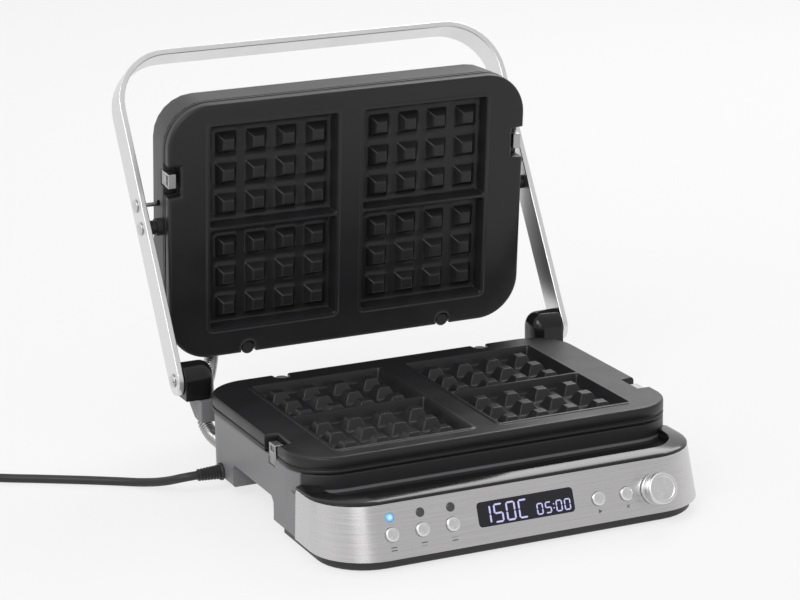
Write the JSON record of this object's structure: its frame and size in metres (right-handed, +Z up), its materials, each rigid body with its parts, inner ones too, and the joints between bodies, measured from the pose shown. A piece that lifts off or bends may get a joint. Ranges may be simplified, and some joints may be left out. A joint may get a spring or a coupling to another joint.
{
  "type": "contact grill",
  "caption": "Countertop contact grill with a floating hinged lid, removable waffle plates, a U-shaped arm handle and a sloping front control panel.",
  "frame": {"origin": "on the floor under the middle of the footprint, cord left out", "axes": "+X to the right, +Y to the back, +Z up, the control panel facing -Y"},
  "size_m": [0.6155, 0.4505, 0.3214],
  "materials": {
    "cast": "matte nonstick coating",
    "grey_shell": "fine matte",
    "dark_shell": "satin",
    "gloss_black": "gloss",
    "steel": "brushed",
    "satin_aluminium": "satin",
    "bright_metal": "polished",
    "rubber": "matte",
    "display_glass": "gloss",
    "lens": "gloss",
    "board": "matte",
    "tin": "satin"
  },
  "bodies": {
    "base": {"base_housing": "grey_shell", "front_panel": "steel", "deck_trim": "gloss_black", "bottom_cover": "dark_shell", "front_foot_left": "rubber", "front_foot_right": "rubber", "rear_foot_left": "rubber", "rear_foot_right": "rubber", "lower_reflector": "tin", "lower_heating_element": "dark_shell", "indicator_lens_1": "lens", "indicator_lens_2": "lens", "indicator_lens_3": "lens", "control_board": "board", "knob_encoder": "tin", "display_window": "display_glass", "display_module": "dark_shell", "hinge_cover_left": "gloss_black", "hinge_cover_right": "gloss_black", "hinge_bracket_left": "grey_shell", "hinge_bracket_right": "grey_shell", "pivot_bolt_left": "bright_metal", "pivot_bolt_right": "bright_metal", "wire_hose": "steel", "cord_gland": "rubber", "cord": "rubber", "cord_coil": "rubber", "plug_lead": "rubber", "plug": "rubber"},
    "arms": {"handle_bar": "satin_aluminium", "lid_pivot_screw_left": "bright_metal", "lid_pivot_screw_right": "bright_metal", "guide_pin_left": "bright_metal", "guide_pin_right": "bright_metal"},
    "lid": {"lid_housing": "dark_shell", "upper_reflector": "tin", "upper_heating_element": "dark_shell"},
    "lower_plate": {"lower_plate": "cast"},
    "upper_plate": {"upper_plate": "cast"},
    "knob": {"knob": "bright_metal"},
    "both_plates_button": {"both_plates_button": "bright_metal"},
    "upper_plate_button": {"upper_plate_button": "bright_metal"},
    "lower_plate_button": {"lower_plate_button": "bright_metal"},
    "start_button": {"start_button": "bright_metal"},
    "cancel_button": {"cancel_button": "bright_metal"},
    "lower_clip_left": {"lower_clip_left": "bright_metal"},
    "lower_clip_right": {"lower_clip_right": "bright_metal"},
    "upper_clip_left": {"upper_clip_left": "bright_metal"},
    "upper_clip_right": {"upper_clip_right": "bright_metal"}
  },
  "joints": [
    {"name": "handle_hinge", "type": "hinge", "parent": "base", "child": "arms", "pos_m": [0, 0.0765, 0.0763], "axis": [1, 0, 0], "range_deg": [0, 110.39]},
    {"name": "lid_pivot", "type": "hinge", "parent": "arms", "child": "lid", "pos_m": [0, 0.1409, 0.18785], "axis": [1, 0, 0], "range_deg": [-26.68, 0]},
    {"name": "lower_plate_lift", "type": "slide", "parent": "base", "child": "lower_plate", "axis": [0, 0, -1], "range_m": [-0.03, 0]},
    {"name": "upper_plate_lift", "type": "slide", "parent": "lid", "child": "upper_plate", "axis": [0, 0.994, 0.1094], "range_m": [-0.03, 0]},
    {"name": "knob_turn", "type": "hinge", "parent": "base", "child": "knob", "pos_m": [0.1077, -0.20766, 0.02699], "axis": [0, -0.9435, 0.3314], "continuous": true},
    {"name": "both_plates_button_press", "type": "slide", "parent": "base", "child": "both_plates_button", "axis": [0, 0.9435, -0.3314], "range_m": [0, 0.0015], "stiffness_N_per_m": 300},
    {"name": "upper_plate_button_press", "type": "slide", "parent": "base", "child": "upper_plate_button", "axis": [0, 0.9435, -0.3314], "range_m": [0, 0.0015], "stiffness_N_per_m": 300},
    {"name": "lower_plate_button_press", "type": "slide", "parent": "base", "child": "lower_plate_button", "axis": [0, 0.9435, -0.3314], "range_m": [0, 0.0015], "stiffness_N_per_m": 300},
    {"name": "start_button_press", "type": "slide", "parent": "base", "child": "start_button", "axis": [0, 0.9435, -0.3314], "range_m": [0, 0.0015], "stiffness_N_per_m": 300},
    {"name": "cancel_button_press", "type": "slide", "parent": "base", "child": "cancel_button", "axis": [0, 0.9435, -0.3314], "range_m": [0, 0.0015], "stiffness_N_per_m": 300},
    {"name": "lower_clip_left_release", "type": "slide", "parent": "base", "child": "lower_clip_left", "axis": [-1, 0, 0], "range_m": [0, 0.0025], "stiffness_N_per_m": 500},
    {"name": "lower_clip_right_release", "type": "slide", "parent": "base", "child": "lower_clip_right", "axis": [1, 0, 0], "range_m": [0, 0.0025], "stiffness_N_per_m": 500},
    {"name": "upper_clip_left_release", "type": "slide", "parent": "lid", "child": "upper_clip_left", "axis": [-1, 0, 0], "range_m": [0, 0.0025], "stiffness_N_per_m": 500},
    {"name": "upper_clip_right_release", "type": "slide", "parent": "lid", "child": "upper_clip_right", "axis": [1, 0, 0], "range_m": [0, 0.0025], "stiffness_N_per_m": 500}
  ],
  "couplings": [
    {"joint": "lid_pivot", "follows": "handle_hinge", "ratio": -0.24161}
  ]
}
